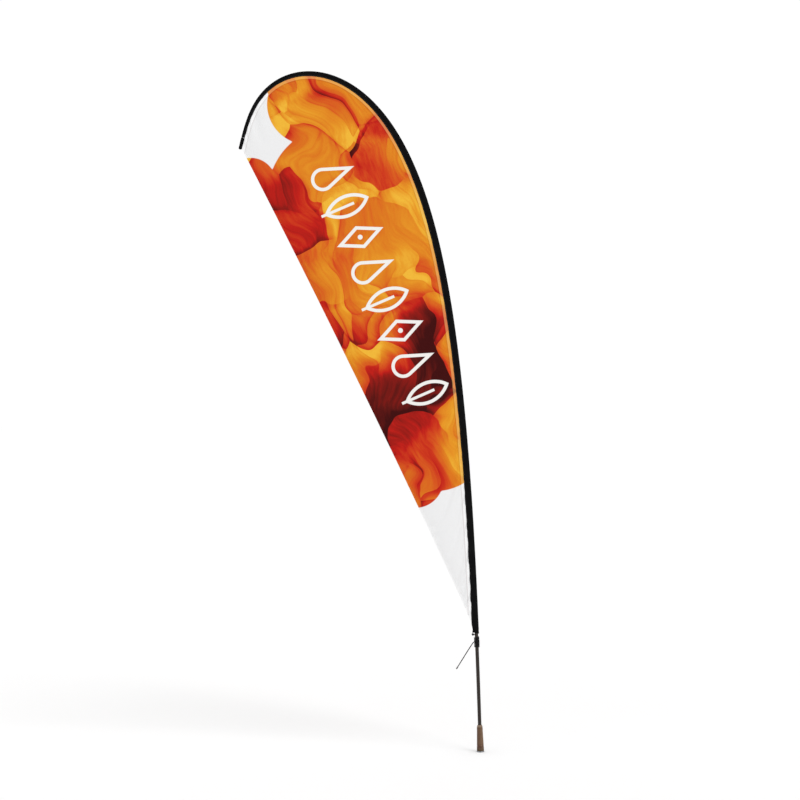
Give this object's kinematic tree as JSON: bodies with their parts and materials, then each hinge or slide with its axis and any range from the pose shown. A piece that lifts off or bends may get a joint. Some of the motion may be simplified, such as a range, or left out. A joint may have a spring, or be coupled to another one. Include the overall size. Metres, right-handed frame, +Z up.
{
  "type": "teardrop flag on a ground spike",
  "caption": "Free-standing teardrop flag: a sectional pole bent over by its flag, in a socket that turns on ball bearings on a ground spike.",
  "frame": {"origin": "on the spike's axis at ground level, where the drive flange rests on the ground", "axes": "+Z up along the axis that the socket turns on; the flag lies in the XZ plane and bends over towards -X; +Y is across the cloth"},
  "size_m": [1.1381, 0.0446, 3.9289],
  "materials": {
    "galvanised_steel": "dull zinc-coated",
    "bearing_steel": "ground and polished",
    "brass": "pressed",
    "brown_socket": "brown powder coat, satin",
    "brown_nylon": "brown nylon, satin",
    "black_rubber": "matt",
    "dark_pole": "dark brown glass-fibre tube, semi-gloss",
    "pole_ferrule": "satin",
    "black_plastic": "moulded, satin",
    "pocket_fabric": "black woven elastic tape",
    "printed_fabric": "knitted polyester, dye-printed in yellow, orange and red",
    "black_cord": "braided"
  },
  "bodies": {
    "ground_spike": {"spike_shaft": "galvanised_steel", "spike_fin_1": "galvanised_steel", "spike_fin_2": "galvanised_steel", "spike_fin_3": "galvanised_steel", "spike_fin_4": "galvanised_steel", "drive_flange": "galvanised_steel", "dust_seal": "black_rubber", "lower_inner_race": "bearing_steel", "inner_spacer": "galvanised_steel", "upper_inner_race": "bearing_steel", "spindle_washer": "galvanised_steel", "spindle_circlip": "bearing_steel"},
    "bearing_balls": {"lower_ball_cage": "brass", "upper_ball_cage": "brass", "lower_ball_1": "bearing_steel", "lower_ball_2": "bearing_steel", "lower_ball_3": "bearing_steel", "lower_ball_4": "bearing_steel", "lower_ball_5": "bearing_steel", "lower_ball_6": "bearing_steel", "lower_ball_7": "bearing_steel", "upper_ball_1": "bearing_steel", "upper_ball_2": "bearing_steel", "upper_ball_3": "bearing_steel", "upper_ball_4": "bearing_steel", "upper_ball_5": "bearing_steel", "upper_ball_6": "bearing_steel", "upper_ball_7": "bearing_steel"},
    "turning_socket": {"socket_housing": "brown_socket", "mouth_bush": "brown_nylon", "lower_outer_race": "bearing_steel", "outer_spacer": "galvanised_steel", "upper_outer_race": "bearing_steel", "housing_circlip": "bearing_steel", "buffer_pad": "black_rubber"},
    "pole_and_flag": {"base_pole_plug": "black_plastic", "base_pole_tube": "dark_pole", "base_pole_ferrule": "pole_ferrule", "middle_stop_ring": "black_plastic", "middle_pole_tube": "dark_pole", "middle_pole_ferrule": "pole_ferrule", "upper_stop_ring": "black_plastic", "upper_pole_tube": "dark_pole", "upper_pole_ferrule": "pole_ferrule", "tip_stop_ring": "black_plastic", "tip_rod": "dark_pole", "tip_cap": "black_rubber", "pole_pocket": "pocket_fabric", "pocket_cuff": "pocket_fabric", "tip_pocket": "pocket_fabric", "flag_panel": "printed_fabric", "trailing_hem": "printed_fabric", "webbing_tab": "pocket_fabric", "tie_cord": "black_cord", "tie_cord_knot": "black_cord", "tie_cord_tail": "black_cord", "tie_cord_end": "black_plastic"}
  },
  "joints": [
    {"name": "socket_spin", "type": "hinge", "parent": "ground_spike", "child": "turning_socket", "pos_m": [0, 0, 0.025], "axis": [0, 0, 1], "continuous": true},
    {"name": "cage_spin", "type": "hinge", "parent": "ground_spike", "child": "bearing_balls", "pos_m": [0, 0, 0.025], "axis": [0, 0, 1], "continuous": true},
    {"name": "pole_lift", "type": "slide", "parent": "turning_socket", "child": "pole_and_flag", "axis": [0, 0, 1], "range_m": [0, 0.12]}
  ],
  "couplings": [
    {"joint": "cage_spin", "follows": "socket_spin", "ratio": 0.6078}
  ]
}
